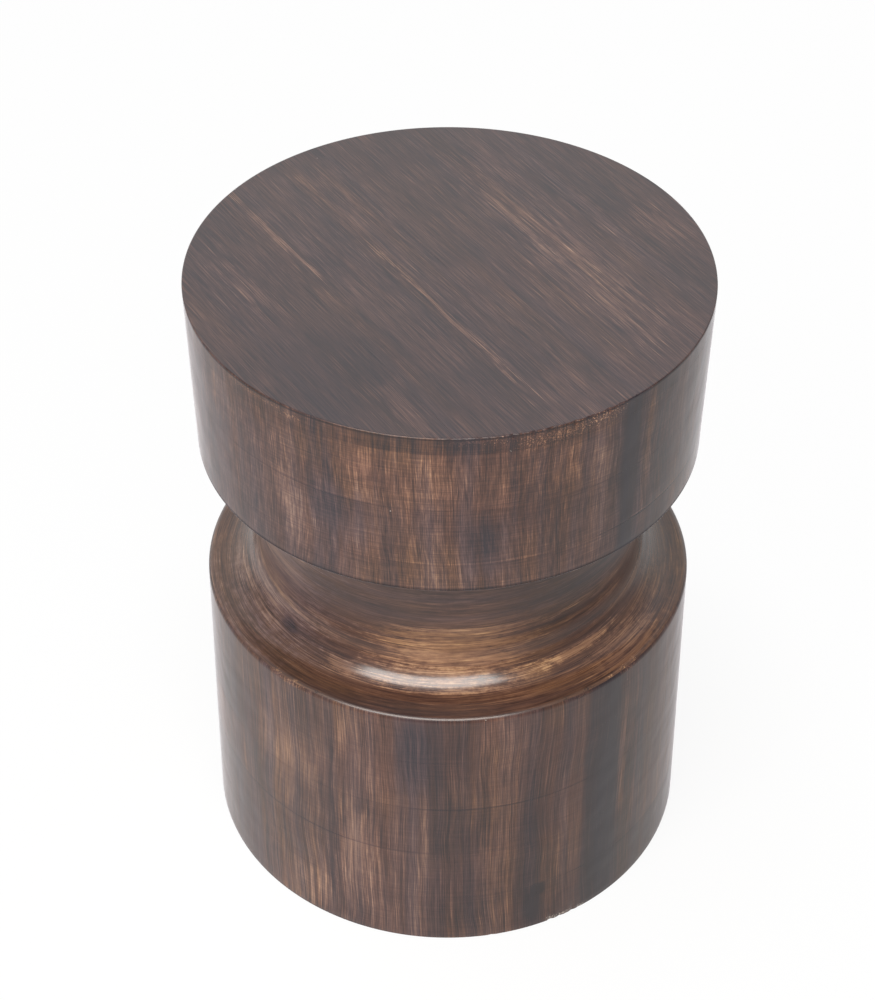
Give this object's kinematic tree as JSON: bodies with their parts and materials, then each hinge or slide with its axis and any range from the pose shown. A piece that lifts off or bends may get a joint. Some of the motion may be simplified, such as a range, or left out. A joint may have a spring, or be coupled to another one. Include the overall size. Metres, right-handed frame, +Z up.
{
  "type": "pedestal end table",
  "caption": "Turned drum end table with a flat round top, a coved waist and a drum base, glued up in courses of dark brush-stained wood blocks.",
  "frame": {"origin": "on the floor, at the table's turned axis", "axes": "+Z up along the turned axis, -Y towards the side that the picture shows, +X to its right"},
  "size_m": [0.383, 0.383, 0.514],
  "materials": {
    "stained_wood": "dark brown stain brushed on by hand, satin lacquer",
    "plywood": "bare plywood",
    "dowel_wood": "bare beech",
    "screw_steel": "zinc plated"
  },
  "bodies": {
    "root": {"base_panel": "plywood", "base_panel_screws": "screw_steel", "ledge_ring_block_1": "stained_wood", "ledge_ring_block_2": "stained_wood", "ledge_ring_block_3": "stained_wood", "ledge_ring_block_4": "stained_wood", "locating_dowels": "dowel_wood", "lower_drum_ring_1_block_1": "stained_wood", "lower_drum_ring_1_block_2": "stained_wood", "lower_drum_ring_1_block_3": "stained_wood", "lower_drum_ring_1_block_4": "stained_wood", "lower_drum_ring_2_block_1": "stained_wood", "lower_drum_ring_2_block_2": "stained_wood", "lower_drum_ring_2_block_3": "stained_wood", "lower_drum_ring_2_block_4": "stained_wood", "lower_drum_ring_3_block_1": "stained_wood", "lower_drum_ring_3_block_2": "stained_wood", "lower_drum_ring_3_block_3": "stained_wood", "lower_drum_ring_3_block_4": "stained_wood", "lower_drum_ring_4_block_1": "stained_wood", "lower_drum_ring_4_block_2": "stained_wood", "lower_drum_ring_4_block_3": "stained_wood", "lower_drum_ring_4_block_4": "stained_wood", "lower_neck_ring_block_1": "stained_wood", "lower_neck_ring_block_2": "stained_wood", "lower_neck_ring_block_3": "stained_wood", "lower_neck_ring_block_4": "stained_wood", "shoulder_ring_block_1": "stained_wood", "shoulder_ring_block_2": "stained_wood", "shoulder_ring_block_3": "stained_wood", "shoulder_ring_block_4": "stained_wood", "top_board_1": "stained_wood", "top_board_2": "stained_wood", "top_board_3": "stained_wood", "top_board_4": "stained_wood", "upper_drum_ring_1_block_1": "stained_wood", "upper_drum_ring_1_block_2": "stained_wood", "upper_drum_ring_1_block_3": "stained_wood", "upper_drum_ring_1_block_4": "stained_wood", "upper_drum_ring_2_block_1": "stained_wood", "upper_drum_ring_2_block_2": "stained_wood", "upper_drum_ring_2_block_3": "stained_wood", "upper_drum_ring_2_block_4": "stained_wood", "upper_neck_ring_block_1": "stained_wood", "upper_neck_ring_block_2": "stained_wood", "upper_neck_ring_block_3": "stained_wood", "upper_neck_ring_block_4": "stained_wood"}
  },
  "joints": []
}
